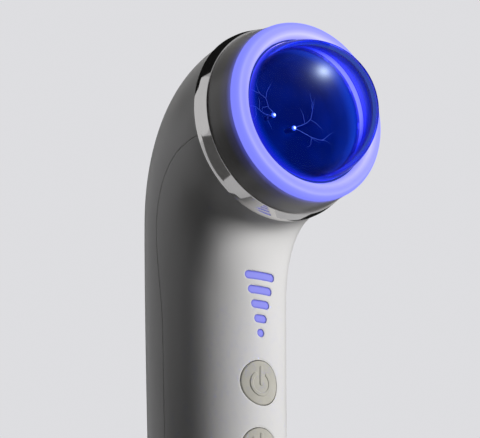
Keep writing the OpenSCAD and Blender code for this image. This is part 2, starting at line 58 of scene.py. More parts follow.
foot_cap_h, foot_round = 5.0, 1.6
foot_front, foot_back, foot_half_width = 20.2, 18.7, 17.3
grip_front, grip_half_width, waist_z = 18.8, 18.3, 113.0
neck_back, neck_back_z, grip_ease = 22.0, waist_z + 37.0, 40.0
seam_side, seam_drop, seam_swing, seam_swing_fade = 87.5, 12.6, 9.0, 30.5
seam_swing_z, shell_wall = waist_z + 27.5, 2.0
mouth_reach, mouth_z, mouth_r, head_tilt = 24.3, waist_z + 51.3, 25.8, 4.0
throat_rise, throat_run, throat_slope = 22.0, 7.5, 17.0
crown_rise, crown_run = 24.5, 17.5

power_z, key_pitch, key_r, key_gap = waist_z - 18.0, 18.3, 6.0, 0.2
mode_z = power_z - key_pitch
level_start, level_pitch, level_h, level_recess = 13.6, 3.9, 2.1, 0.2
level_dot, level_top, window_count = 2.1, 9.6, 5
fit_gap, run_gap = 0.1, 0.05

window_zs = power_z + level_start + level_pitch * np.arange(window_count)
window_ws = np.linspace(level_dot, level_top, window_count)
print("windows at", window_zs, "widths", window_ws)

# %% [markdown]
# A piece is a grid of points: a function of two parameters worked out for the whole array at once.
# Rows and columns become faces by slicing an index array, so no loop ever visits a vertex. Where a
# grid closes on an axis, its row of equal points is merged into one, which closes the pole.

# %% From a grid of points to a mesh
SHARP = 35.0


def grid_faces(index, close_rows=False, close_columns=False):
    """Four corners for each cell of an index grid; a closed direction also joins its two ends."""
    if close_rows:
        index = np.vstack([index, index[:1]])
    if close_columns:
        index = np.hstack([index, index[:, :1]])
    corners = [index[:-1, :-1], index[1:, :-1], index[1:, 1:], index[:-1, 1:]]
    return np.stack(corners, -1).reshape(-1, 4)


def round_faces(points, start=0, close_rows=False):
    """The faces of a grid of points whose rows run all the way round, numbered from start."""
    index = start + np.arange(points[..., 0].size).reshape(points.shape[:2])
    return grid_faces(index, close_rows, close_columns=True)


def put(name, data):
    """An object on the data, in the scene."""
    made = bpy.data.objects.new(name, data)
    bpy.context.scene.collection.objects.link(made)
    return made


def clean(mesh):
    """Merges equal points, drops the cells that this leaves flat, and turns all faces outwards."""
    work = bmesh.new()
    work.from_mesh(mesh)
    bmesh.ops.remove_doubles(work, verts=work.verts, dist=1e-7)
    bmesh.ops.dissolve_degenerate(work, edges=work.edges, dist=1e-8)
    bmesh.ops.recalc_face_normals(work, faces=work.faces)
    work.to_mesh(mesh)
    work.free()


def smooth(mesh, sharp=SHARP):
    """Shades a mesh smooth, but for edges that turn by more than sharp degrees."""
    mesh.shade_smooth()
    mesh.set_sharp_from_angle(angle=math.radians(sharp))


def make_piece(name, points, faces, node=None, body="housing", values=None, sharp=SHARP):
    """A piece from points in millimetres; values, one number for each row, is kept as 'across'."""
    mesh = bpy.data.meshes.new(name)
    mesh.from_pydata((points.reshape(-1, 3) * MM).tolist(), [], faces.tolist())
    if values is not None:
        spread = np.broadcast_to(np.reshape(values, (-1, 1)), points.shape[:-1])
        layer = mesh.attributes.new("across", "FLOAT", "POINT")
        layer.data.foreach_set("value", spread.astype(np.float32).ravel())
    clean(mesh)
    smooth(mesh, sharp)
    piece = put(name, mesh)
    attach(piece, body)
    if node:
        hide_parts(node)
    print(name, len(mesh.vertices), "points", len(mesh.polygons), "faces")
    return piece


# %% [markdown]
# The handle is a row of ellipses. Each one spans from a point of the front outline to a point of
# the back outline, so where the outlines turn towards the head the ellipses fan out and the handle
# bends into the round mouth. The station s runs from 0 at the foot to 1 at the waist and 2 at the
# mouth.

# %% The handle's outlines and sections
def cubic(a, b, c, d, t):
    """Bezier curve from a to d, drawn towards b and c: the weights are the binomials of t."""
    t = np.asarray(t)[..., None]
    a, b, c, d = (np.array(p, float) for p in (a, b, c, d))
    return (1 - t) ** 3 * a + 3 * (1 - t) ** 2 * t * b + 3 * (1 - t) * t ** 2 * c + t ** 3 * d


def ease(t):
    """From 0 to 1 by 3t^2-2t^3, level at both ends."""
    return t ** 2 * (3 - 2 * t)


tilt, slope = math.radians(head_tilt), math.radians(throat_slope)
mouth = np.array([-mouth_reach, mouth_z])
mouth_out = np.array([-math.cos(tilt), math.sin(tilt)])
mouth_up = np.array([math.sin(tilt), math.cos(tilt)])
chin, crown = mouth - mouth_r * mouth_up, mouth + mouth_r * mouth_up
throat_way = np.array([math.cos(slope), -math.sin(slope)])
waist = np.array([-grip_front, waist_z])
nape = np.array([neck_back, neck_back_z])


def outline(s, foot_y, top, rise, turn_from, end):
    """[y, z]: an S curve from the foot to the top, then a bend to the end at the mouth."""
    low = cubic([foot_y, foot_cap_h], [foot_y, foot_cap_h + grip_ease],
                top - [0, grip_ease], top, np.clip(s, 0, 1))
    high = cubic(top, top + [0, rise], turn_from, end, np.clip(s - 1, 0, 1))
    return np.where(np.asarray(s)[..., None] <= 1, low, high)


def front_outline(s):
    """The outline under the keys, ending below the head."""
    return outline(s, -foot_front, waist, throat_rise, chin + throat_run * throat_way, chin)


def back_outline(s):
    """The outline along the back, ending on top of the head."""
    return outline(s, foot_back, nape, crown_rise, crown - crown_run * mouth_out, crown)


def half_width(s):
    """Eases from the foot's half width to the grip's, then on to the mouth's radius."""
    grip = foot_half_width + (grip_half_width - foot_half_width) * ease(np.clip(s, 0, 1))
    return grip + (mouth_r - grip_half_width) * ease(np.clip(s - 1, 0, 1))


def seam_turn(s):
    """Degrees from the front to the seam: it swings back by a cos^2 and then eases forward."""
    middle_z = (front_outline(s) + back_outline(s))[..., 1] / 2
    fade = np.clip(np.abs(middle_z - seam_swing_z) / seam_swing_fade, 0, 1)
    swing = seam_swing * np.cos(np.pi / 2 * fade) ** 2
    return seam_side + swing - seam_drop * ease(np.clip(s - 1, 0, 1))


def handle_surface(s, turn, inset):
    """Points at stations s and turns in degrees: x = w sin, yz = middle + reach cos."""
    front, back = front_outline(s), back_outline(s)
    middle, reach = (front + back) / 2, (front - back) / 2
    shrink = 1 - inset / np.linalg.norm(reach, axis=-1)
    angle = np.radians(turn)
    yz = middle + reach * (shrink * np.cos(angle))[..., None]
    x = (half_width(s) - inset) * np.sin(angle)
    return np.concatenate([x[..., None], yz], -1)


RISING, TRACED = 1.6, 2000     # the outlines rise up to this station; points traced on them


def line_depth(line, z):
    """y of an outline at height z, between the nearest of its traced points."""
    points = line(np.linspace(0, RISING, TRACED))
    return float(np.interp(z, points[:, 1], points[:, 0]))


def front_round(z):
    """Radius of the round front at height z: half width squared over half depth."""
    return 2 * grip_half_width ** 2 / (line_depth(back_outline, z) - line_depth(front_outline, z))


print("front at the power button", round(line_depth(front_outline, power_z), 2), "mm")

# %% [markdown]
# Moulded edges are never sharp. Beside a hole or a seam the skin rolls inwards over a fifth of a
# millimetre, which is what catches the light as a fine line. The roll is part of the surface's own
# formula, so no bevel has to find the edge.

# %% Rolled edges
EDGE_ROLL = 0.22
key_holes = [(0.0, key_r + key_gap, z) for z in (power_z, mode_z)]
slots = [((w - level_h) / 2, level_h / 2 + fit_gap, z) for w, z in zip(window_ws, window_zs)]
openings = key_holes + slots     # each one's reach to either side, its radius and its height


def roll(distance):
    """Quarter circle: the inset is EDGE_ROLL at the edge and nothing EDGE_ROLL away from it."""
    near = np.clip(1 - distance / EDGE_ROLL, 0, 1)
    return EDGE_ROLL * (1 - np.sqrt(1 - near ** 2))


def distance_to_openings(x, z):
    """Distance in the front view to the nearest key hole or window slot, negative inside."""
    return np.min([np.hypot(np.maximum(np.abs(x) - reach, 0), z - middle) - radius
                   for reach, radius, middle in openings], axis=0)


def steps(*stretches):
    """One rising row of numbers from (start, end, count) stretches that meet end to start."""
    parts = [np.linspace(a, b, n, endpoint=False) for a, b, n in stretches]
    return np.concatenate(parts + [[stretches[-1][1]]])


print(len(openings), "openings in the front")

# %% [markdown]
# Each shell is a wall: an outer skin with rolled edges, an inner skin two millimetres in, and four
# strips that close it round the rim. The key holes and window slots are then cut with plain
# prisms, as a mould's inserts would leave them, so their edges are exact however coarse the grid.

# %% Building a shell
SLOT_STEPS = 96
slot_angle = 2 * np.pi * (np.arange(SLOT_STEPS) + 0.5) / SLOT_STEPS


def shell_points(stations, across, front):
    """Outer and inner skins; across goes from seam to seam, where the outer skin rolls in."""
    s, v = np.meshgrid(stations, across, indexing="ij")
    half = seam_turn(s)
    turn = half * v if front else half + (360 - 2 * half) * (v + 1) / 2
    flat = handle_surface(s, turn, 0 * s)
    sweep = np.radians(half if front else 180 - half)
    inset = roll((1 - np.abs(v)) * sweep * half_width(s))
    inset = np.maximum(inset, roll(flat[..., 2] - foot_cap_h))
    if front:
        inset = np.maximum(inset, roll(distance_to_openings(flat[..., 0], flat[..., 2])))
    return handle_surface(s, turn, inset), handle_surface(s, turn, 0 * s + shell_wall)


def wall_faces(rows, columns):
    """Both skins of a wall and the four strips between their edges."""
    outer = np.arange(rows * columns).reshape(rows, columns)
    inner = outer + rows * columns
    strips = [(outer[:, 0], inner[:, 0]), (inner[:, -1], outer[:, -1]), (inner[0], outer[0]),
              (outer[-1], inner[-1])]
    return np.concatenate([grid_faces(outer), grid_faces(inner[:, ::-1])]
                          + [grid_faces(np.stack(edges, 1)) for edges in strips])


def build_shell(name, node, stations, across, front):
    """One shell of the handle as a closed wall."""
    skins = np.stack(shell_points(stations, across, front))
    return make_piece(name, skins, wall_faces(len(stations), len(across)), node)


def seam_to_seam(middle, count, *side):
    """Numbers from -1 to 1: even steps across the middle, and finer stretches at each side."""
    side = steps(*side)
    return np.concatenate([-side[::-1], steps((-middle, middle, count))[1:-1], side])


def slot_outline(reach, radius, middle):
    """A slot in the front view: a circle whose left and right halves are pushed apart by reach."""
    x = radius * np.cos(slot_angle) + reach * np.sign(np.cos(slot_angle))
    return np.stack([x, middle + radius * np.sin(slot_angle)], 1)


def prism_faces(start):
    """A prism on a slot's outline, its corners numbered from start: the sides and two ends."""
    near, far = start + np.arange(2 * SLOT_STEPS).reshape(2, SLOT_STEPS)
    sides = grid_faces(np.stack([near, far]), close_columns=True)
    return [*sides.tolist(), near.tolist(), far[::-1].tolist()]


def cut(piece, outlines, y_from, y_to):
    """Cuts prisms along Y on the outlines out of a piece, by an exact difference."""
    corners = [np.insert(shape, 1, y, axis=1) for shape in outlines for y in (y_from, y_to)]
    starts = 2 * SLOT_STEPS * np.arange(len(outlines))
    mesh = bpy.data.meshes.new("cutter")
    mesh.from_pydata((np.concatenate(corners) * MM).tolist(), [],
                     [face for start in starts for face in prism_faces(start)])
    clean(mesh)
    tool = put("cutter", mesh)
    change = piece.modifiers.new("cut", "BOOLEAN")
    change.operation, change.solver, change.object = "DIFFERENCE", "EXACT", tool
    bpy.context.view_layer.update()
    changed = piece.evaluated_get(bpy.context.evaluated_depsgraph_get())
    result = bpy.data.meshes.new_from_object(changed)
    piece.modifiers.clear()
    piece.data = result
    bpy.data.objects.remove(tool)
    smooth(result)
    print(piece.name, "cut to", len(result.polygons), "faces")


# %% [markdown]
# The front shell carries the keys and the bars. Its grid is finest where it has most to show:
# round the openings, and at the seams, where its edge rolls in.

# %% The front shell
CUT_OUT, CUT_IN = 4, 8     # how far the prisms reach out of the grip's front and into it
front_across = seam_to_seam(0.4, 112, (0.4, 0.985, 22), (0.985, 1.0, 5))
front_stations = steps((0, 0.004, 4), (0.004, 0.5, 26), (0.5, 1.0, 128), (1.0, 1.35, 46),
                       (1.35, 2.0, 34))
front_skin = build_shell("front_skin", "front_shell", front_stations, front_across, True)
cut(front_skin, [slot_outline(*opening) for opening in openings],
    -grip_front - CUT_OUT, -grip_front + CUT_IN)

# %% [markdown]
# The rear shell has one opening, the mouth of the charge socket low on the back.

# %% The rear shell
SOCKET_CUT_OUT = 5
back_across = seam_to_seam(0.5, 60, (0.5, 0.99, 26), (0.99, 1.0, 4))
back_stations = steps((0, 0.004, 4), (0.004, 0.3, 40), (0.3, 1.0, 60), (1.0, 2.0, 80))
rear_skin = build_shell("rear_skin", "rear_shell", back_stations, back_across, False)
socket_low, socket_high = (np.array(corner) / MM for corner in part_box("charge_socket"))
socket_w, _, socket_h = socket_high - socket_low
socket_hole = slot_outline((socket_w - socket_h) / 2, socket_h / 2 + fit_gap,
                           (socket_low[2] + socket_high[2]) / 2)
cut(rear_skin, [socket_hole], socket_low[1], foot_back + SOCKET_CUT_OUT)

# %% [markdown]
# The foot cap closes the handle. Its side carries on the handle's section and rolls under over a
# quarter circle, so the device stands on a flat face that is a little smaller than its grip. A
# round plug on top of it goes up into the shells and carries the charge board.

# %% The foot cap
PLUG_R, PLUG_H = 12.5, 4.0


def foot_points(turns):
    """Rows from the bottom's centre round the roll, up the side, in to the plug and over it."""
    under, over = np.radians(np.linspace(90, 0, 9)), np.radians([30.0, 60.0, 90.0])
    shoulder = foot_cap_h - EDGE_ROLL
    heights = np.concatenate([[0], foot_round * (1 - np.sin(under)), [shoulder],
                              shoulder + EDGE_ROLL * np.sin(over)])
    insets = np.concatenate([[0], foot_round * (1 - np.cos(under)), [0],
                             EDGE_ROLL * (1 - np.cos(over))])
    h, t = np.meshgrid(heights, turns, indexing="ij")
    ring = handle_surface(0 * h, t, np.broadcast_to(insets[:, None], h.shape))
    ring[0] = ring[1].mean(0)
    ring[..., 2] = h
    angle = np.radians(turns)
    circle = np.stack([np.sin(angle), -np.cos(angle), 0 * angle], -1)
    top = foot_cap_h + PLUG_H
    plug = [r * circle + [0, 0, z] for r, z in ((PLUG_R, foot_cap_h), (PLUG_R, top), (0, top))]
    return np.concatenate([ring, plug])


foot_grid = foot_points(np.linspace(0, 360, 144, endpoint=False))
foot_skin = make_piece("foot_skin", foot_grid, round_faces(foot_grid), "foot_cap")

# %% [markdown]
# Everything on the head is round about one axis, so it is turned like work on a lathe: a profile
# of radius and distance forward of the mouth, its corners softened, is carried round.

# %% Turning on the head's axis
TURN_STEPS, CORNER_POINTS = 160, 5
chrome_w, chrome_proud, chrome_taper = 4.8, 0.6, 0.6
chrome_face, chrome_tail, chrome_flange = 2.6, 3.0, 2.2
collar_len, collar_step, collar_taper, collar_wall = 8.9, 0.4, 0.8, 1.9
light_w, light_crest, light_bulge, light_skirt = 4.7, 1.9, 2.6, 0.6
dome_rise, dome_gap, dome_wall, dome_foot = 0.9, 0.6, 1.5, 1.3
cup_gap, cup_wall, cup_floor = 0.5, 1.2, 1.2
cup_hang, cup_flange_gap, cup_flange_h = 5.0, 0.4, 1.0

ring_s = chrome_w + collar_len
dome_s = ring_s + dome_rise
chrome_back_r = mouth_r + chrome_proud
chrome_front_r = chrome_back_r - chrome_taper
chrome_in_r = chrome_front_r - chrome_face
chrome_flange_r = chrome_in_r - chrome_tail
collar_back_r = chrome_front_r - collar_step
light_r = collar_back_r - collar_taper
light_in_r = light_r - light_w
light_crest_r = light_in_r + light_crest
dome_r = light_in_r - dome_gap
cup_rim_s, cup_r = dome_s - dome_foot, dome_r - cup_gap
cup_flange_s, cup_flange_r = ring_s - cup_hang, light_r - collar_wall - cup_flange_gap


def to_head(points):
    """Local head points to the model: x stays, y runs along the mouth's up, z along its out."""
    x, y, s = points[..., 0], points[..., 1], points[..., 2]
    yz = mouth + y[..., None] * mouth_up + s[..., None] * mouth_out
    return np.concatenate([x[..., None], yz], -1)


def soften(corners, radius):
    """Rounds each corner of a closed profile by a quadratic curve between points a radius away."""
    corners = np.array(corners, float)
    before, after = np.roll(corners, 1, 0) - corners, np.roll(corners, -1, 0) - corners
    start = corners + before * (radius / np.linalg.norm(before, axis=1))[:, None]
    end = corners + after * (radius / np.linalg.norm(after, axis=1))[:, None]
    t = np.linspace(0, 1, CORNER_POINTS)[None, :, None]
    start, corners, end = start[:, None], corners[:, None], end[:, None]
    return ((1 - t) ** 2 * start + 2 * t * (1 - t) * corners + t ** 2 * end).reshape(-1, 2)


def turned(name, profile, closed, node, values=None):
    """A profile of [radius, s] carried round the head's axis: x = r cos, y = r sin."""
    angle = 2 * np.pi * np.arange(TURN_STEPS) / TURN_STEPS
    r, s = profile[:, :1], profile[:, 1:]
    points = to_head(np.stack([r * np.cos(angle), r * np.sin(angle), s + 0 * angle], -1))
    return make_piece(name, points, round_faces(points, close_rows=closed), node,
                      values=values)


print("light ring radius", round(light_r, 2), "dome radius", round(dome_r, 2))

# %% [markdown]
# The chrome ring tapers a little towards the front, and the collar narrows from it to the light
# ring. The number kept on the collar is 0 at its back and 1 at its front.

# %% The chrome ring and the collar
TRIM_CORNER, COLLAR_CORNER = 0.12, 0.18
chrome_profile = soften([
    [chrome_flange_r, 0], [chrome_back_r, 0], [chrome_back_r, chrome_w / 3],
    [chrome_front_r, chrome_w], [chrome_in_r, chrome_w], [chrome_in_r, chrome_flange],
    [chrome_flange_r, chrome_flange]], TRIM_CORNER)
chrome_band = turned("chrome_band", chrome_profile, True, "chrome_ring")
collar_profile = soften([
    [collar_back_r - collar_wall, chrome_w], [collar_back_r, chrome_w], [light_r, ring_s],
    [light_r - collar_wall, ring_s]], COLLAR_CORNER)
collar_along = (collar_profile[:, 1] - chrome_w) / collar_len
collar_skin = turned("collar_skin", collar_profile, True, "head_collar", collar_along)

# %% [markdown]
# The light ring is a milky bulge whose crest sits nearer the dome. Its profile is two quarter
# ellipses over a short skirt. The number kept with each point, 0 at the outer edge and 1 at the
# inner one, lets its glow follow the bulge. The thin seal inside it keeps the same number.

# %% The light ring and the seal
SEAL_RISE = 0.5
bulge = np.radians(np.linspace(0, 180, 41))
reach = np.where(bulge < np.pi / 2, light_r - light_crest_r, light_crest_r - light_in_r)
bulge_line = np.stack([light_crest_r + reach * np.cos(bulge),
                       ring_s + light_skirt + light_bulge * np.sin(bulge)], 1)
light_profile = np.concatenate([[[light_in_r, ring_s], [light_r, ring_s]], bulge_line])
light_across = (light_r - light_profile[:, 0]) / (light_r - light_in_r)
light_skin = turned("light_skin", light_profile, True, "light_ring", light_across)
seal_in_r, seal_out_r, seal_top_s = dome_r + run_gap, light_in_r - run_gap, dome_s + SEAL_RISE
seal_profile = soften([[seal_in_r, cup_rim_s], [seal_out_r, cup_rim_s],
                       [seal_out_r, seal_top_s], [seal_in_r, seal_top_s]], TRIM_CORNER)
seal_across = (seal_out_r - seal_profile[:, 0]) / (seal_out_r - seal_in_r)
seal_skin = turned("seal_skin", seal_profile, True, "dome_seal", seal_across)

# %% [markdown]
# The dome is a half ball of glass with a short straight foot. Outer and inner wall are one profile
# that starts on the axis at the top, comes down outside, turns under the foot and goes back up
# inside, so light bends on the way in and again on the way out, as in blown glass. The number kept
# on it rises from 0 at the foot over a few millimetres of the outside, where the glass has a
# painted glow of the light ring, and is 1 on the inner wall, so that a finish can tell the walls
# apart.

# %% The glass dome
PAINTED_FOOT_GLOW_H, OUTER_TOP, INNER = 6.0, 0.9, 1.0
arc = np.radians(np.linspace(90, 0, 56))
quarter = np.stack([np.cos(arc), np.sin(arc)], 1)
quarter[0, 0] = 0
inner_r = dome_r - dome_wall
outer_wall, inner_wall = [0, dome_s] + dome_r * quarter, [0, dome_s] + inner_r * quarter[::-1]
dome_profile = np.concatenate([outer_wall, [[dome_r, cup_rim_s], [inner_r, cup_rim_s]],
                               inner_wall])
dome_height = np.clip((dome_profile[:, 1] - cup_rim_s) / PAINTED_FOOT_GLOW_H, 0, OUTER_TOP)
dome_height[len(outer_wall) + 1:] = INNER
dome_glass = turned("dome_glass", dome_profile, False, "glass_dome", dome_height)

# %% [markdown]
# The cup is one profile too: up its outside with a thin flange, over the bevelled rim, down inside
# and round a fillet to the floor's centre. Its number is 0 on the floor and 1 at the rim.

# %% The cup
CUP_BEVEL, FLOOR_FILLET, FLOOR_STEP, FLOOR_ROWS = 0.2, 2.5, 0.5, 24
cup_in_r = cup_r - cup_wall
floor_r = cup_in_r - FLOOR_FILLET
fillet = np.radians(np.linspace(0, 90, 10))
cup_profile = np.concatenate([
    [[0, 0], [cup_r, 0], [cup_r, cup_flange_s], [cup_flange_r, cup_flange_s],
     [cup_flange_r, cup_flange_s + cup_flange_h], [cup_r, cup_flange_s + cup_flange_h],
     [cup_r, cup_rim_s - CUP_BEVEL], [cup_r - CUP_BEVEL, cup_rim_s],
     [cup_in_r + CUP_BEVEL, cup_rim_s], [cup_in_r, cup_rim_s - CUP_BEVEL]],
    np.stack([floor_r + FLOOR_FILLET * np.cos(fillet),
              cup_floor + FLOOR_FILLET * (1 - np.sin(fillet))], 1),
    np.stack([np.linspace(floor_r - FLOOR_STEP, 0, FLOOR_ROWS),
              np.full(FLOOR_ROWS, cup_floor)], 1)])
cup_height = np.clip((cup_profile[:, 1] - cup_floor) / (cup_rim_s - cup_floor), 0, 1)
cup_skin = turned("cup_skin", cup_profile, False, "electrode_cup", cup_height)

# %% [markdown]
# A faint discharge runs from each electrode to the wall of the cup: crooked main threads with
# short side threads. Each is a thin tube along a seeded random walk, shrinking to a point at its
# far end.

# %% The discharge threads
pin_offset, pin_turn, pin_r, pin_tip_s = 3.6, math.radians(-21), 0.7, cup_floor + 4.0
pin_turns = (pin_turn, pin_turn + math.pi)
DRIFT, DAMPING, CLIMB = 0.42, 0.55, 0.22
TUBE_SIDES, TAPER_POWER = 6, 0.6
MAIN_LENGTH, MAIN_R, MAIN_LEANS = 11.5, 0.10, (-0.5, 0.9)
SIDE_LENGTH, SIDE_R, SIDE_STARTS = 4.8, 0.07, ((7, 0.9), (12, -1.0), (18, 0.8))
dice = np.random.default_rng(11)


def pin_point(turn, s):
    """A local head point on an electrode's axis."""
    return np.array([pin_offset * math.cos(turn), pin_offset * math.sin(turn), s])


def crooked_path(start, heading, length, count):
    """A walk across the dome: the heading drifts by seeded steps, and s climbs evenly."""
    turns = heading + np.cumsum(dice.normal(0, DRIFT, count)) * DAMPING
    flat = np.cumsum(np.stack([np.cos(turns), np.sin(turns)], 1) * (length / count), 0)
    walk = np.column_stack([flat, np.linspace(0, CLIMB, count) * length])
    return np.concatenate([[start], start + walk])


def tube_points(path, radius):
    """Rings round a path: centre + radius (cos u + sin w), u and w square to its direction."""
    along = np.gradient(path, axis=0)
    along /= np.linalg.norm(along, axis=1, keepdims=True)
    u = np.cross(along, [0.0, 0.0, 1.0])
    u /= np.linalg.norm(u, axis=1, keepdims=True)
    w = np.cross(along, u)
    angle = (2 * np.pi * np.arange(TUBE_SIDES) / TUBE_SIDES)[None, :, None]
    taper = radius * np.linspace(1, 0.0, len(path)) ** TAPER_POWER
    taper[0] = 0
    return path[:, None] + taper[:, None, None] * (np.cos(angle) * u[:, None]
                                                   + np.sin(angle) * w[:, None])


tubes = []
for turn in pin_turns:
    for lean in MAIN_LEANS:
        main = crooked_path(pin_point(turn, pin_tip_s), turn + lean, MAIN_LENGTH, 26)
        tubes.append(to_head(tube_points(main, MAIN_R)))
        for place, side_lean in SIDE_STARTS:
            side = crooked_path(main[place], turn + lean + side_lean, SIDE_LENGTH, 12)
            tubes.append(to_head(tube_points(side, SIDE_R)))
starts = np.cumsum([0] + [tube[..., 0].size for tube in tubes])
threads = make_piece("discharge_threads", np.concatenate([tube.reshape(-1, 3) for tube in tubes]),
                     np.concatenate([round_faces(*pair) for pair in zip(tubes, starts)]))

# %% [markdown]
# A key is soft silicone moulded to the handle's curve, with its sign standing a little proud. The
# sign is a height over the face: the distance to its strokes, turned into a smooth ridge.

# %% The signs on the keys
SIGN_HEIGHT, STROKE_HALF, STROKE_EDGE = 0.22, 0.46, 0.2


def ridge(distance):
    """Height of a stroke: level on top, then an ease down over the width of its edge."""
    t = np.clip((STROKE_HALF + STROKE_EDGE / 2 - distance) / STROKE_EDGE, 0, 1)
    return SIGN_HEIGHT * ease(t)


def bar_distance(x, z, z0, z1):
    """Distance to an upright stroke on the middle line from z0 to z1."""
    return np.hypot(x, z - np.clip(z, z0, z1))


def power_sign(x, z):
    """An open ring, a little below the middle, with a stroke through the gap at its top."""
    radius, gap, below = 3.0, math.radians(38), 0.15
    z = z + below
    ring = np.abs(np.hypot(x, z) - radius)
    end = np.hypot(np.abs(x) - radius * math.sin(gap), z - radius * math.cos(gap))
    ring = np.where(np.abs(np.arctan2(x, z)) > gap, ring, end)
    return np.minimum(ring, bar_distance(x, z, -0.1, 4.3))


def mode_sign(x, z):
    """A middle stroke with pairs of dots that step down on either side, and a low arc."""
    marks = bar_distance(x, z, 3.4, 4.3)
    for place, height in ((2.35, 3.0), (3.8, 0.9)):
        marks = np.minimum(marks, np.hypot(np.abs(x) - place, z - height))
    radius, below, reach = 2.0, 0.4, 1.9
    turn = np.clip(np.arctan2(np.abs(x), -z - below), 0, reach)
    arc = np.hypot(np.abs(x) - radius * np.sin(turn), z + below + radius * np.cos(turn))
    return np.minimum(marks, arc)


# %% [markdown]
# The key under its sign is one grid: the face and its rounded edge follow the front's round skin,
# and the stem and the flange behind them, which holds the key in its hole, are flat.

# %% The keys
KEY_ROUND, KEY_DEPTH, KEY_FLANGE, KEY_LIP = 0.35, 5.5, 1.0, 1.0
KEY_STEM, SIGN_FADE, KEY_STEPS, FACE_ROWS = KEY_DEPTH - KEY_FLANGE, 0.5, 240, 96


def on_front(z_centre, x, z, depth, curved):
    """Points behind the front; where curved is true, the depth starts at its round skin."""
    radius = front_round(z_centre)
    sag = radius - np.sqrt(radius ** 2 - np.minimum(np.abs(x), key_r) ** 2)
    y = line_depth(front_outline, z_centre) + depth + np.where(curved, sag, 0)
    return np.stack([x, y, z_centre + z], -1)


def build_key(name, z_centre, sign, body, node):
    """Rows of face, round edge, stem and flange; the face is the front's skin plus the sign."""
    face = np.linspace(0, key_r - KEY_ROUND, FACE_ROWS)
    edge = np.radians(np.linspace(0, 90, 7))[1:]
    radii = np.concatenate([face, key_r - KEY_ROUND * (1 - np.sin(edge)),
                            [key_r, key_r + KEY_LIP, key_r + KEY_LIP, 0]])[:, None]
    drops = np.concatenate([0 * face, KEY_ROUND * (1 - np.cos(edge)),
                            [KEY_STEM, KEY_STEM, KEY_DEPTH, KEY_DEPTH]])[:, None]
    curved = drops < KEY_STEM
    angle = 2 * np.pi * np.arange(KEY_STEPS) / KEY_STEPS
    x, z = radii * np.cos(angle), radii * np.sin(angle)
    inner = np.clip((key_r - KEY_ROUND - radii) / SIGN_FADE, 0, 1)
    points = on_front(z_centre, x, z, drops - curved * inner * ridge(sign(x, z)), curved)
    return make_piece(name, points, round_faces(points), node, body, sharp=60)


power_cap = build_key("power_cap", power_z, power_sign, "power_key", "power_button")
mode_cap = build_key("mode_cap", mode_z, mode_sign, "mode_key", "mode_button")

# %% [markdown]
# Five clear bars show the level, from a dot to a wide bar. Each lies a little below the shell and
# is crowned like a lens. Its grid runs from the middle line, u = 0, to the rim, u = 1, and that
# number is kept so that the bar can be lit in the middle and darker at its rim.

# %% The level windows
WINDOW_DEPTH, WINDOW_CROWN = 6.6, 0.22
END_TURN = 12     # how fast the outline passes from one end of the slot to the other


def build_window(number, reach, z_centre):
    """A slot-shaped lens: rows grow from its middle line to its rim, then run back inside."""
    lens = steps((0, 0.8, 8), (0.8, 1, 8))
    u = np.append(lens, [1, 0])[:, None]
    back = np.append(0 * lens, [WINDOW_DEPTH, WINDOW_DEPTH])[:, None]
    x = u * level_h / 2 * np.cos(slot_angle) + reach * np.clip(np.cos(slot_angle) * END_TURN, -1, 1)
    z = u * level_h / 2 * np.sin(slot_angle)
    crown = WINDOW_CROWN * (1 - np.sqrt(np.clip(1 - u ** 4, 0, 1)))
    curved = back == 0
    points = on_front(z_centre, x, z, np.where(curved, crown + level_recess, back), curved)
    return make_piece(f"window_lens_{number}", points, round_faces(points),
                      f"level_window_{number}", values=u, sharp=50)


lenses = [build_window(i + 1, reach, z) for i, (reach, _, z) in enumerate(slots)]

# %% [markdown]
# A finish is a small network of nodes. Sums on sockets are written as sums: the class below wraps
# a socket, and each operator adds its Math node. Every other node is made by one method, which
# takes the node's type, its settings and its inputs.

# %% Writing shaders as expressions
def both_ways(operation):
    """An operator and its reflected form: each adds one Math node, with its sides in order."""
    return (lambda self, other: self.math(operation, self, other),
            lambda self, other: self.math(operation, other, self))


class Value:
    """A socket that takes part in sums, products and powers like a number."""
    __add__, __radd__ = both_ways("ADD")
    __sub__, __rsub__ = both_ways("SUBTRACT")
    __mul__, __rmul__ = both_ways("MULTIPLY")
    __truediv__, __rtruediv__ = both_ways("DIVIDE")
    __pow__, __rpow__ = both_ways("POWER")

    def __init__(self, net, socket):
        self.net, self.socket = net, socket

    def math(self, operation, *sides):
        """A Math node in this value's network on the given sides."""
        return self.net.node("ShaderNodeMath", {"operation": operation}, dict(enumerate(sides)))

    def limited(self):
        """Keeps the value between 0 and 1 in the node that made it."""
        self.socket.node.use_clamp = True
        return self


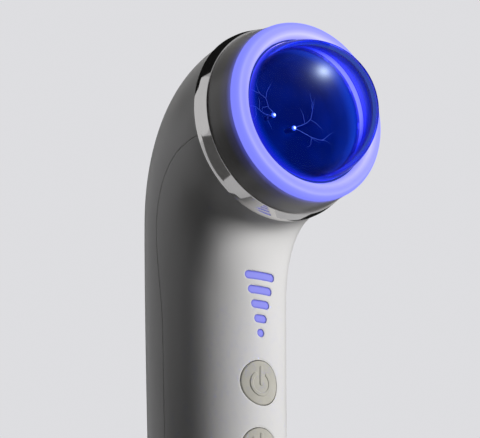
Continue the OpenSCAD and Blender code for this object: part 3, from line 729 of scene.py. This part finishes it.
class Net:
    """The node network of one material, or of a world."""

    def __init__(self, name, world=None):
        self.material = world or bpy.data.materials.new(name)
        self.material.use_nodes = True
        self.tree = self.material.node_tree
        self.shader = self.tree.nodes["Background" if world else "Principled BSDF"]

    def node(self, kind, settings=None, inputs=None, output=0):
        """Makes a node, sets it up, then fills its sockets with values or links."""
        made = self.tree.nodes.new(kind)
        for key, value in (settings or {}).items():
            if key == "stops":
                self.ramp(made, value)
            else:
                setattr(made, key, value)
        self.fill(made, inputs or {})
        return Value(self, made.outputs[output])

    @staticmethod
    def ramp(made, stops):
        """Puts (position, colour) stops on a colour ramp."""
        band = made.color_ramp
        while len(band.elements) < len(stops):
            band.elements.new(1.0)
        for element, (position, colour) in zip(band.elements, stops):
            element.position, element.color = position, (*colour, 1)

    def fill(self, made, inputs):
        """Sets or links sockets, named by their name or their number."""
        for key, value in inputs.items():
            socket = made.inputs[key]
            if isinstance(value, Value):
                self.tree.links.new(value.socket, socket)
            else:
                socket.default_value = value

    def point(self):
        """The surface point in the model's own metres."""
        return self.node("ShaderNodeTexCoord", output="Object")

    def noise(self, scale, detail=3.0, move=(0, 0, 0)):
        """Noise from 0 to 1 with the given number of waves a metre, moved by some metres."""
        where = self.node("ShaderNodeMapping", inputs={0: self.point(), 1: move})
        return self.node("ShaderNodeTexNoise", inputs={
            "Vector": where, "Scale": scale, "Detail": detail})

    def stops(self, value, *stops):
        """A colour ramp over a value."""
        return self.node("ShaderNodeValToRGB", {"stops": stops}, {0: value})

    def toned(self, value, colour, share):
        """A colour, or the given share of it where a value is low."""
        return self.stops(value, (0.3, tuple(share * c for c in colour)), (0.7, colour))

    def mixed(self, factor, first, second):
        """A colour between two, by a factor from 0 to 1."""
        return self.node("ShaderNodeMix", {"data_type": "RGBA"}, {0: factor, 6: first, 7: second},
                         output=2)

    def across(self):
        """The number that the piece keeps for each point."""
        return self.node("ShaderNodeAttribute", {"attribute_name": "across"}, output="Fac")

    def bump(self, height, distance):
        """A bump of the given height in metres on the shader's normal."""
        self.fill(self.shader, {"Normal": self.node("ShaderNodeBump", inputs={
            "Strength": 1.0, "Distance": distance, "Height": height})})

    def set(self, **inputs):
        """Fills sockets of the shader; an underscore in a name stands for a space."""
        self.fill(self.shader, {key.replace("_", " "): value for key, value in inputs.items()})
        return self


BLACK, WHITE = (0, 0, 0), (1, 1, 1)


def wear(net, *pieces):
    """Gives pieces one finish."""
    for piece in pieces:
        piece.data.materials.clear()
        piece.data.materials.append(net.material)
    print(net.material.name, "on", *(piece.name for piece in pieces))


# %% [markdown]
# Moulded plastic is a plain colour under a skin that is not quite even: the gloss drifts over some
# centimetres, and a fine ripple breaks up a lamp's reflection. The same recipe, with other
# numbers, gives the white shells, the greyer collar, the foot and the dull inner parts. On the
# collar a weak emission that fades backwards is painted glow: the light ring's blue spilling over
# its edge.

# %% Moulded plastic
def moulded(name, colour, rough, coat=0.0, ripple=2e-6, ripple_scale=900.0):
    """Plastic with drifting tone and gloss and a fine ripple."""
    net = Net(name)
    drift = net.noise(45.0, 2.0)
    grain = net.noise(ripple_scale, 4.0)
    net.set(Base_Color=net.toned(drift, colour, 0.97), Coat_Weight=coat, Coat_Roughness=0.08,
            Roughness=rough + (drift - 0.5) * (0.25 * rough))
    net.bump(grain, ripple)
    return net


collar_plastic = moulded("collar plastic", (0.44, 0.43, 0.42), 0.3)
# Painted glow: the light ring's blue spill on the collar, as emission fading back from its front
# edge.
collar_plastic.set(Emission_Strength=1.0, Emission_Color=collar_plastic.stops(
    collar_plastic.across(), (0.5, BLACK), (0.82, (0.006, 0.006, 0.05)),
    (1.0, (0.05, 0.055, 0.38))))
wear(collar_plastic, collar_skin)
wear(moulded("shell plastic", (0.83, 0.82, 0.81), 0.36), front_skin, rear_skin)
wear(moulded("foot plastic", (0.66, 0.66, 0.65), 0.4, ripple=8e-6, ripple_scale=2200.0), foot_skin)

# %% [markdown]
# Chrome is plated on a plastic ring. It mirrors the room, with a trace of haze where it was wiped.

# %% Chrome
def plated(name, colour, rough, haze=0.05, scale=160.0):
    """Mirror metal with patches of haze."""
    net = Net(name)
    wiped = net.noise(scale, 5.0)
    net.set(Metallic=1.0, Base_Color=net.toned(wiped, colour, 0.94),
            Roughness=rough + wiped * haze)
    net.bump(wiped, 1.5e-6)
    return net


wear(plated("polished chrome", (0.62, 0.61, 0.6), 0.05), chrome_band)

# %% [markdown]
# The light ring glows through milky plastic. The glow is an emission colour over the number kept
# with each point, so it stays on the ring in any view. One row of colours is for the lower left of
# the head, and a brighter one for its upper right, where a painted highlight is whitest inside the
# crest.

# %% The glowing ring and the lit windows
PAINTED_LIGHT_CENTRE_Z = mouth_z + 1.0


def painted_light_side(net):
    """Where painted light falls, from lower left, 0, to upper right, 1, of the head: (1 + (x + z) /
    reach) / 2.
    """
    x = net.node("ShaderNodeSeparateXYZ", inputs={0: net.point()}, output="X")
    z = Value(net, x.socket.node.outputs["Z"]) - PAINTED_LIGHT_CENTRE_Z * MM
    return (((x + z) / (math.sqrt(2) * light_in_r * MM) + 1) * 0.5).limited()


def blues(*rows):
    """Stops of a blue light: each one's place, then the red and green beside a full blue."""
    return [(place, (red, green, 1.0)) for place, red, green in rows]


def glowing(name, stops, strength, base, rough, tone=0.06, painted_highlight=None):
    """Milky plastic lit from behind: emission over 'across'; a painted highlight may go upper
    right.
    """
    net = Net(name)
    place = (net.across() + (net.noise(70.0, 2.0) - 0.5) * tone).limited()
    colour = net.stops(place, *stops)
    if painted_highlight:
        colour = net.mixed(painted_light_side(net), colour, net.stops(place, *painted_highlight))
    net.set(Base_Color=base, Roughness=rough, Emission_Strength=strength, Specular_IOR_Level=0.0,
            Emission_Color=colour)
    net.bump(net.noise(1200.0), 1.5e-6)
    return net


ring_dim = blues((0.0, 0.22, 0.24), (0.16, 0.24, 0.26), (0.27, 0.38, 0.39), (0.38, 0.30, 0.31),
                 (0.50, 0.27, 0.28), (0.72, 0.33, 0.33), (1.0, 0.26, 0.27))
# Painted highlight: brighter stops for the upper right of the ring, whitest just inside the crest.
ring_painted_highlight = blues((0.0, 0.22, 0.24), (0.25, 0.24, 0.26), (0.50, 0.31, 0.31), (0.66, 0.46, 0.45),
                  (0.78, 0.64, 0.62), (0.90, 0.46, 0.44), (1.0, 0.30, 0.29))
wear(glowing("lit diffuser", ring_dim, 1.0, (0.10, 0.10, 0.22, 1), 0.35, painted_highlight=ring_painted_highlight),
     light_skin)
window_light = [(0.0, (0.27, 0.28, 0.85)), (0.55, (0.26, 0.27, 0.84)), (0.85, (0.15, 0.16, 0.66)),
                (1.0, (0.10, 0.11, 0.55))]
wear(glowing("lit window", window_light, 0.75, (0.12, 0.12, 0.3, 1), 0.25, tone=0.1), *lenses)

# %% [markdown]
# The dome is clear glass with a blue tint that deepens where it is seen at a slant, and its foot
# has a painted glow of the light ring, painted brighter towards the upper right. Only its outside
# has a thin coat, which spreads a lamp's highlight. The index of refraction is kept near that of
# air, so that the cup is seen nearly undistorted.

# %% Blue glass
glass = Net("blue glass")
outside = glass.stops(glass.across(), (0.92, WHITE), (0.98, BLACK))
slanting = glass.node("ShaderNodeLayerWeight", inputs={"Blend": 0.5}, output="Facing")
clear_blue = glass.stops(glass.noise(60.0), (0.35, (0.38, 0.44, 0.95)), (0.65, (0.42, 0.48, 0.97)))
deepening = glass.stops(slanting, (0.36, BLACK), (0.62, WHITE))
# Painted glow in the glass foot: the light ring's light as emission, dim at lower left, brighter at
# upper right.
painted_foot_glow_dim, painted_foot_glow_bright = (glass.stops(
    glass.across(), (0.32, low), (0.55, middle), (0.68, (0.0, 0.006, 0.12)), (0.85, BLACK))
    for low, middle in (((0.01, 0.01, 0.50), (0.0, 0.008, 0.32)),
                        ((0.14, 0.12, 0.90), (0.04, 0.04, 0.60))))
glass.set(Base_Color=glass.mixed(deepening, clear_blue, (0.006, 0.035, 0.42, 1)),
          Roughness=0.0, Transmission_Weight=1.0, IOR=1.06,
          Coat_Weight=outside * (1 - slanting) * 0.05, Coat_Roughness=0.36,
          Emission_Strength=1.0,
          Emission_Color=glass.mixed(painted_light_side(glass), painted_foot_glow_dim, painted_foot_glow_bright))
wear(glass, dome_glass)

# %% [markdown]
# What is seen through the dome is the cup: deep blue enamel with painted light on it: a painted
# glow round its rim where the ring would light it, slow painted clouds of brighter blue, and a
# painted halo round each electrode.

# %% The cup's enamel
PAINTED_FLOOR_HALO, TIP_HALO = 0.004, 0.0011


def halos(net, s, size):
    """The glow round both electrodes at s: a sum of (1 - distance / size) squared."""
    total = 0
    for turn in pin_turns:
        centre = tuple(to_head(pin_point(turn, s)) * MM)
        gap = net.node("ShaderNodeVectorMath", {"operation": "DISTANCE"},
                       {0: net.point(), 1: centre}, output="Value")
        total += (1 - gap / size).limited() ** 2.0
    return total


enamel = Net("cup enamel")
# Painted light on the enamel, all as emission: slow glow clouds, whose noise also varies the dark
# base tone, the ring's light round the rim, and halos round the electrodes.
painted_glow_and_tone_cloud = (enamel.noise(95.0, 3.0, move=(0.013, 0.0, 0.004)) - 0.42).limited() * 1.3
painted_rim_light = enamel.stops(enamel.across(), (0.2, BLACK), (0.7, (0.25,) * 3),
                         (0.95, (0.95,) * 3))
lit = (painted_glow_and_tone_cloud + halos(enamel, cup_floor, PAINTED_FLOOR_HALO) * 0.4).limited()
# Painted glow colours of the inside: dark blue, brighter where the painted clouds and halos lie.
inside = enamel.stops(lit, (0.0, (0.0, 0.010, 0.12)), (0.35, (0.0, 0.018, 0.19)),
                      (1.0, (0.0, 0.05, 0.42)))
enamel.set(Base_Color=enamel.stops(painted_glow_and_tone_cloud, (0.0, (0.0005, 0.001, 0.004)),
                                   (1.0, (0.001, 0.002, 0.008))),
           Roughness=0.5, Specular_IOR_Level=0.0, Emission_Strength=1.0,
           Emission_Color=enamel.mixed(painted_rim_light, inside, (0.01, 0.08, 0.55, 1)))
wear(enamel, cup_skin)

# %% [markdown]
# The seal is dark rubber whose inner edge has a painted highlight of the light ring, most of all at
# the upper right.
# The threads are pure light that wavers along them, and each electrode is a metal pin with a
# burning tip. The blue of the pin's metal and the blue glow round its white tip are painted light.

# %% Seal, threads and electrodes
seal_rubber = moulded("seal rubber", (0.004, 0.012, 0.09), 0.35, ripple=4e-6)
# Painted highlight: the seal's inner edge lit by the ring, as emission, strongest at the upper
# right.
painted_seal_highlight = seal_rubber.stops(seal_rubber.across(), (0.7, BLACK), (0.95, WHITE))
seal_rubber.set(Emission_Strength=1.6, Emission_Color=seal_rubber.stops(
    painted_seal_highlight * painted_light_side(seal_rubber), (0.42, (0.0, 0.008, 0.12)), (0.88, (0.9, 0.75, 1.0))))
wear(seal_rubber, seal_skin)

discharge = Net("discharge")
discharge.set(Base_Color=(0.1, 0.15, 0.3, 1), Emission_Strength=0.34,
              Emission_Color=discharge.stops(discharge.noise(400.0), (0.35, (0.04, 0.10, 0.42)),
                                             (0.65, (0.14, 0.26, 0.7))))
wear(discharge, threads)

# Painted light: the pin's metal is tinted blue and glows blue round its tip for the blue light it
# stands in; the white core is the discharge.
electrode = plated("lit electrode", (0.25, 0.3, 0.6), 0.3)
electrode.set(Emission_Strength=8.0, Emission_Color=electrode.stops(
    halos(electrode, pin_tip_s - pin_r / 2, TIP_HALO),
    (0.05, BLACK), (0.3, (0.02, 0.06, 0.3)), (0.6, WHITE)))
wear(electrode, frame["nodes"]["electrode_pins"])

# %% [markdown]
# Silicone is soft to the eye as well: dull, warm grey, with a fine blasted grain from its mould.

# %% Silicone keys
silicone = Net("silicone")
speck = silicone.noise(2600.0, 2.0)
shade = silicone.noise(220.0, 2.0)
silicone.set(Base_Color=silicone.stops(shade, (0.3, (0.56, 0.545, 0.48)),
                                       (0.7, (0.62, 0.60, 0.53))),
             Roughness=0.5 + speck * 0.12, Sheen_Weight=0.1)
silicone.bump(speck, 6e-6)
wear(silicone, power_cap, mode_cap)

# %% [markdown]
# The inner pieces are hidden while the device is whole, but each keeps a true finish for when it
# is opened: plated screws, dull moulded carriers, green solder mask whose tracks are the thin
# joints of a brick pattern, and wound copper in fine bands across the coil's axis.

# %% Finishes of the inner pieces
lacquer = Net("solder mask")
tracks = lacquer.node("ShaderNodeTexBrick", inputs={
    "Vector": lacquer.point(), "Scale": 90.0, "Mortar Size": 0.03,
    "Color1": (0, 0, 0, 1), "Color2": (0.1, 0.1, 0.1, 1), "Mortar": (1, 1, 1, 1)})
lacquer.set(Roughness=0.35, Base_Color=lacquer.stops(
    tracks, (0.1, (0.01, 0.12, 0.05)), (0.9, (0.03, 0.24, 0.1))))
lacquer.bump(tracks, 2e-5)

winding = Net("copper winding")
bands = winding.node("ShaderNodeTexWave", {"bands_direction": "Y"},
                     {"Vector": winding.point(), "Scale": 900.0, "Distortion": 0.4})
winding.set(Metallic=1.0, Roughness=0.3, Base_Color=winding.stops(
    bands, (0.2, (0.45, 0.14, 0.05)), (0.8, (0.8, 0.36, 0.16))))
winding.bump(bands, 6e-5)

steel = plated("plated steel", (0.6, 0.6, 0.62), 0.22, haze=0.15, scale=500.0)
finishes = {
    "board": lacquer, "copper": winding, "screw": steel, "socket": steel,
    "switch": moulded("black moulding", (0.03, 0.03, 0.032), 0.45, ripple=6e-6),
    "frame": moulded("dark carrier", (0.12, 0.12, 0.125), 0.5, ripple=8e-6, ripple_scale=1800.0),
    "bobbin": moulded("ivory moulding", (0.66, 0.62, 0.5), 0.45),
    "cell": moulded("cell sleeve", (0.05, 0.14, 0.4), 0.3, coat=0.4),
    "contact": plated("gilt contact", (0.85, 0.65, 0.3), 0.2, haze=0.1),
    "led": moulded("clear emitter", (0.8, 0.8, 0.74), 0.2, coat=0.5),
}
slot_of = {entry["node"]: entry["material_slot"] for entry in frame["record"]["subparts"]}
for name, part in frame["nodes"].items():
    if slot_of[name] in finishes:
        wear(finishes[slot_of[name]], part)

# %% [markdown]
# The device is looked at from low on its left, so the camera stands below the level of the foot.
# A long lens keeps the handle's sides almost parallel, as the eye expects of a small thing.

# %% The camera
VIEW_TURN, VIEW_RISE = math.radians(-37.0), math.radians(-14.0)
LENS, SENSOR, FIELD_W = 500.0, 36.0, 129.4
AIM_RIGHT, AIM_Z = 5.74, 143.6
right = np.array([math.cos(VIEW_TURN), math.sin(VIEW_TURN), 0])
back = np.array([math.sin(VIEW_TURN) * math.cos(VIEW_RISE),
                 -math.cos(VIEW_TURN) * math.cos(VIEW_RISE), math.sin(VIEW_RISE)])
up = np.cross(back, right)
aim = AIM_RIGHT * right + np.array([0, 0, AIM_Z])


def facing(direction):
    """The rotation that turns a camera's or lamp's -Z along a direction, with +Y up."""
    return Vector(direction).to_track_quat("-Z", "Y")


camera = put("camera", bpy.data.cameras.new("camera"))
camera.data.lens, camera.data.sensor_width = LENS, SENSOR
camera.data.clip_start, camera.data.clip_end = 0.05, 50.0
camera.rotation_mode, camera.rotation_quaternion = "QUATERNION", facing(-back)
camera.location = (aim + back * (FIELD_W * LENS / SENSOR)) * MM
bpy.context.scene.camera = camera
print("camera", tuple(round(c, 3) for c in camera.location))

# %% [markdown]
# Five soft lamps, as in a small studio. The key lamp stands at the right and models the handle,
# the side lamp keeps its left rim from going black, and the top and back lamps light the floor.
# A small strong one makes the highlight on the dome, and is linked to the dome alone. Lamps that
# gloss would show as bare discs are kept out of reflections.

# %% The lamps
def in_front(sideways, upwards, towards, reach):
    """A place a reach in metres from the device's neck, seen from the camera, and its way."""
    way = sideways * right + upwards * up + towards * back
    way = way / np.linalg.norm(way)
    return aim * MM + way * reach, way


def lamp(name, direction, reach, size, power, mirrored=True):
    """A round soft box aimed at the device's neck; mirrored says whether gloss shows it."""
    data = bpy.data.lights.new(name, "AREA")
    data.shape, data.size, data.energy = "DISK", size, power
    made = put(name, data)
    made.location, way = in_front(*direction, reach)
    made.rotation_mode, made.rotation_quaternion = "QUATERNION", facing(-way)
    made.visible_glossy, made.visible_transmission = mirrored, False
    print(name, power, "W")
    return made


lamp("key lamp", (0.90, 0.27, 0.31), 1.2, 0.5, 14.0, mirrored=False)
lamp("side lamp", (-0.95, 0.2, -0.16), 1.0, 1.15, 0.85)
lamp("top lamp", (0.0, 0.8, -0.6), 1.5, 1.2, 12.0, mirrored=False)
lamp("back lamp", (-0.25, 0.1, -0.96), 1.3, 0.9, 6.0, mirrored=False)
spark = lamp("dome lamp", (0.38, 0.86, 0.33), 0.7, 0.07, 115.0)
spark.data.color = (0.66, 0.8, 1.0)
spark.light_linking.receiver_collection = bpy.data.collections.new("lit by the dome lamp")
spark.light_linking.receiver_collection.objects.link(dome_glass)

# %% [markdown]
# Chrome in an even room looks like grey paint, and glass looks dusty. So four sheets of felt stand
# round the device, as in a studio: black ones above, behind, and on the side of the camera, and a
# small grey one low beside its head. Only reflections show them: they cast no shadow.

# %% The dark sheets
def flat_square(name, centre, side, rise, half):
    """A staged square in metres: its corners are the centre plus or minus half side and rise."""
    corners = [tuple(centre + half * (a * side + b * rise))
               for a, b in ((-1, -1), (1, -1), (1, 1), (-1, 1))]
    mesh = bpy.data.meshes.new(name)
    mesh.from_pydata(corners, [], [(0, 1, 2, 3)])
    sheet = put(name, mesh)
    return sheet


def felt_sheet(name, direction, reach, size):
    """A square of felt facing the device's neck that only gloss and metal show."""
    centre, way = in_front(*direction, reach)
    side = np.cross(way, up)
    side = side / np.linalg.norm(side)
    sheet = flat_square(name, centre, side, np.cross(side, way), size / 2)
    sheet.visible_camera = sheet.visible_diffuse = False
    sheet.visible_transmission = sheet.visible_shadow = False
    return sheet


def felt(name, level):
    """Dull cloth of a given brightness with a slightly uneven nap."""
    net = Net(name)
    return net.set(Roughness=1.0, Base_Color=net.toned(net.noise(60.0), (level,) * 3, 0.8))


wear(felt("black felt", 0.02), felt_sheet("upper_sheet", (-0.32, 0.62, -0.7), 0.9, 1.1),
     felt_sheet("back_sheet", (0.0, -0.1, -1.0), 0.42, 0.43),
     felt_sheet("front_sheet", (0.1, 0.1, 1.0), 1.0, 2.0))
wear(felt("grey felt", 0.12), felt_sheet("low_sheet", (-0.83, -0.40, 0.385), 0.179, 0.16))

# %% [markdown]
# The background is as bright as it should look, whatever the lamps do: the camera and glass see its
# full level, gloss and metal a little less, and it gives hardly any light. The floor is clear from
# below. From above it is pale and takes the shadow, and it adds nearly the same level to what the
# lamps give it, so it meets the background.

# %% The floor and the background
SEEN, MIRRORED, AMBIENT = 0.75, 0.5, 0.015
FLOOR_SEEN, FLOOR_MIRRORED, FLOOR_COLOUR, FLOOR_HALF = 0.66, 0.44, (0.2, 0.2, 0.2), 6.0
PALE = (0.97, 0.97, 1.0, 1)


def background_level(net, seen, mirrored):
    """The larger of two: seen for camera rays and rays through glass, mirrored for reflections."""
    camera_ray = net.node("ShaderNodeLightPath", output="Is Camera Ray")
    rays = camera_ray.socket.node.outputs
    through, reflected = (Value(net, rays[f"Is {kind} Ray"]) for kind in ("Transmission", "Glossy"))
    shown = (camera_ray + through).limited() * seen
    return shown.math("MAXIMUM", shown, reflected * mirrored)


floor = flat_square("floor", np.zeros(3), np.array([1, 0, 0]), np.array([0, 1, 0]), FLOOR_HALF)
floor.visible_diffuse = False

paper = Net("floor paper")
paper.set(Roughness=0.9, Base_Color=paper.toned(paper.noise(30.0), FLOOR_COLOUR, 0.96))
shine = paper.node("ShaderNodeEmission", inputs={
    "Color": PALE, "Strength": background_level(paper, FLOOR_SEEN, FLOOR_MIRRORED)})
lit_paper = paper.node("ShaderNodeAddShader", inputs={
    0: Value(paper, paper.shader.outputs[0]), 1: shine})
underside = paper.node("ShaderNodeNewGeometry", output="Backfacing")
one_sided = paper.node("ShaderNodeMixShader", inputs={
    0: underside, 1: lit_paper, 2: paper.node("ShaderNodeBsdfTransparent")})
paper.fill(paper.tree.nodes["Material Output"], {"Surface": one_sided})
wear(paper, floor)

world = bpy.data.worlds.new("studio")
sky = Net("studio", world)
level = background_level(sky, SEEN, MIRRORED)
sky.set(Color=PALE, Strength=level.math("MAXIMUM", level, AMBIENT))
bpy.context.scene.world = world
bpy.context.scene.view_settings.view_transform = "Standard"
